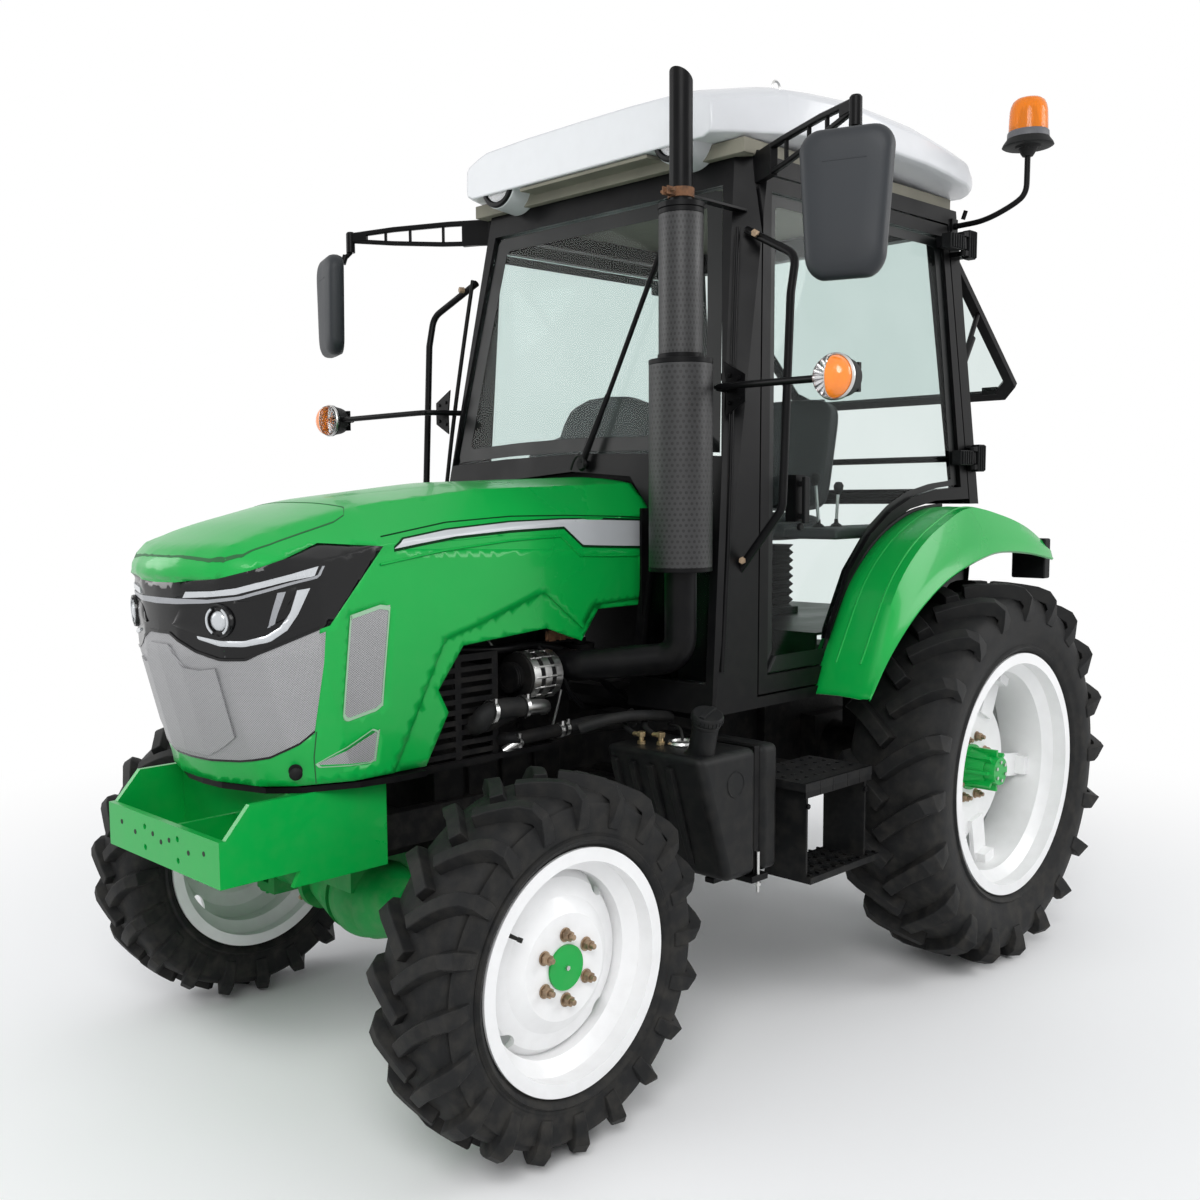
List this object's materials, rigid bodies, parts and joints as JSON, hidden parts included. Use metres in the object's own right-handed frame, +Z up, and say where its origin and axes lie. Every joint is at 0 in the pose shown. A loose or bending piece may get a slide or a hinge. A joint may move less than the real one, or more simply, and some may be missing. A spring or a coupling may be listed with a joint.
{
  "type": "farm tractor",
  "caption": "Compact four-wheel-drive farm tractor with a cab, tilting bonnet, swinging doors, steered front wheels and a rear linkage.",
  "frame": {"origin": "on the ground under the middle of the overall box", "axes": "+X forward, +Y to the driver's left, +Z up"},
  "size_m": [3.2492, 2.2774, 2.708],
  "materials": {
    "green_paint": "gloss",
    "white_paint": "gloss",
    "black_paint": "satin",
    "engine_black": "matt",
    "tyre_rubber": "matt",
    "roof_white": "gloss",
    "black_plastic": "grained",
    "gloss_black": "gloss",
    "mesh_silver": "brushed",
    "steel": "plain",
    "glass_tint": "clear",
    "lamp_lens": "clear",
    "amber_lens": "gloss",
    "seat_vinyl": "grained"
  },
  "bodies": {
    "chassis": {"battery_box": "black_plastic", "beacon": "amber_lens", "bonnet_rest": "black_paint", "cab_floor": "black_paint", "cab_frame": "black_paint", "dashboard": "black_plastic", "engine_block": "engine_black", "engine_fittings": "engine_black", "exhaust": "black_paint", "fenders": "green_paint", "firewall": "black_paint", "front_axle": "green_paint", "front_glass": "glass_tint", "front_support": "engine_black", "fuel_tank": "black_plastic", "gearbox": "engine_black", "grab_rails": "black_paint", "hitch": "black_paint", "mirrors": "black_plastic", "radiator": "engine_black", "rear_axle": "black_paint", "rear_glass": "glass_tint", "rear_lamps": "amber_lens", "rear_window": "black_paint", "roof": "roof_white", "roof_lamps": "lamp_lens", "seat_back": "seat_vinyl", "seat_base": "black_paint", "seat_cushion": "seat_vinyl", "side_beams": "black_paint", "steering_wheel": "black_plastic", "steps": "black_plastic", "turn_lamps": "amber_lens", "weight_carrier": "green_paint", "wiper": "black_paint"},
    "bonnet": {"bonnet_shell": "green_paint", "bonnet_screens": "mesh_silver", "lamp_band": "gloss_black", "headlamps": "lamp_lens", "bonnet_stripes": "steel"},
    "door_left": {"door_left": "black_paint", "door_glass_left": "glass_tint"},
    "door_right": {"door_right": "black_paint", "door_glass_right": "glass_tint"},
    "knuckle_left": {"knuckle_left": "green_paint"},
    "knuckle_right": {"knuckle_right": "green_paint"},
    "tie_rod": {"tie_rod": "steel"},
    "wheel_front_left": {"front_tyre_left": "tyre_rubber", "front_rim_left": "white_paint", "front_hub_left": "green_paint"},
    "wheel_front_right": {"front_tyre_right": "tyre_rubber", "front_rim_right": "white_paint", "front_hub_right": "green_paint"},
    "wheel_rear_left": {"rear_tyre_left": "tyre_rubber", "rear_rim_left": "white_paint", "rear_hub_left": "green_paint"},
    "wheel_rear_right": {"rear_tyre_right": "tyre_rubber", "rear_rim_right": "white_paint", "rear_hub_right": "green_paint"}
  },
  "joints": [
    {"name": "bonnet_hinge", "type": "hinge", "parent": "chassis", "child": "bonnet", "pos_m": [0.345, 0, 1.496], "axis": [0, -1, 0], "range_deg": [0, 40]},
    {"name": "door_left_hinge", "type": "hinge", "parent": "chassis", "child": "door_left", "pos_m": [-1.005, 0.616, 1.6], "axis": [0.1374, 0, 0.9905], "range_deg": [0, 75]},
    {"name": "door_right_hinge", "type": "hinge", "parent": "chassis", "child": "door_right", "pos_m": [-1.005, -0.616, 1.6], "axis": [-0.1374, 0, -0.9905], "range_deg": [0, 75]},
    {"name": "steer_left", "type": "hinge", "parent": "chassis", "child": "knuckle_left", "pos_m": [1.035, 0.5, 0.437], "axis": [0, 0, 1], "range_deg": [-35, 35]},
    {"name": "steer_right", "type": "hinge", "parent": "chassis", "child": "knuckle_right", "pos_m": [1.035, -0.5, 0.437], "axis": [0, 0, 1], "range_deg": [-35, 35]},
    {"name": "tie_rod_slide", "type": "slide", "parent": "chassis", "child": "tie_rod", "axis": [0, -1, 0], "range_m": [-0.0857, 0.0857]},
    {"name": "front_wheel_left_spin", "type": "hinge", "parent": "knuckle_left", "child": "wheel_front_left", "pos_m": [1.035, 0.67, 0.437], "axis": [0, 1, 0], "continuous": true},
    {"name": "front_wheel_right_spin", "type": "hinge", "parent": "knuckle_right", "child": "wheel_front_right", "pos_m": [1.035, -0.67, 0.437], "axis": [0, 1, 0], "continuous": true},
    {"name": "rear_wheel_left_spin", "type": "hinge", "parent": "chassis", "child": "wheel_rear_left", "pos_m": [-0.805, 0.765, 0.605], "axis": [0, 1, 0], "continuous": true},
    {"name": "rear_wheel_right_spin", "type": "hinge", "parent": "chassis", "child": "wheel_rear_right", "pos_m": [-0.805, -0.765, 0.605], "axis": [0, 1, 0], "continuous": true}
  ],
  "couplings": [
    {"joint": "steer_right", "follows": "steer_left", "ratio": 1},
    {"joint": "tie_rod_slide", "follows": "steer_left", "m_per_rad": 0.14}
  ]
}
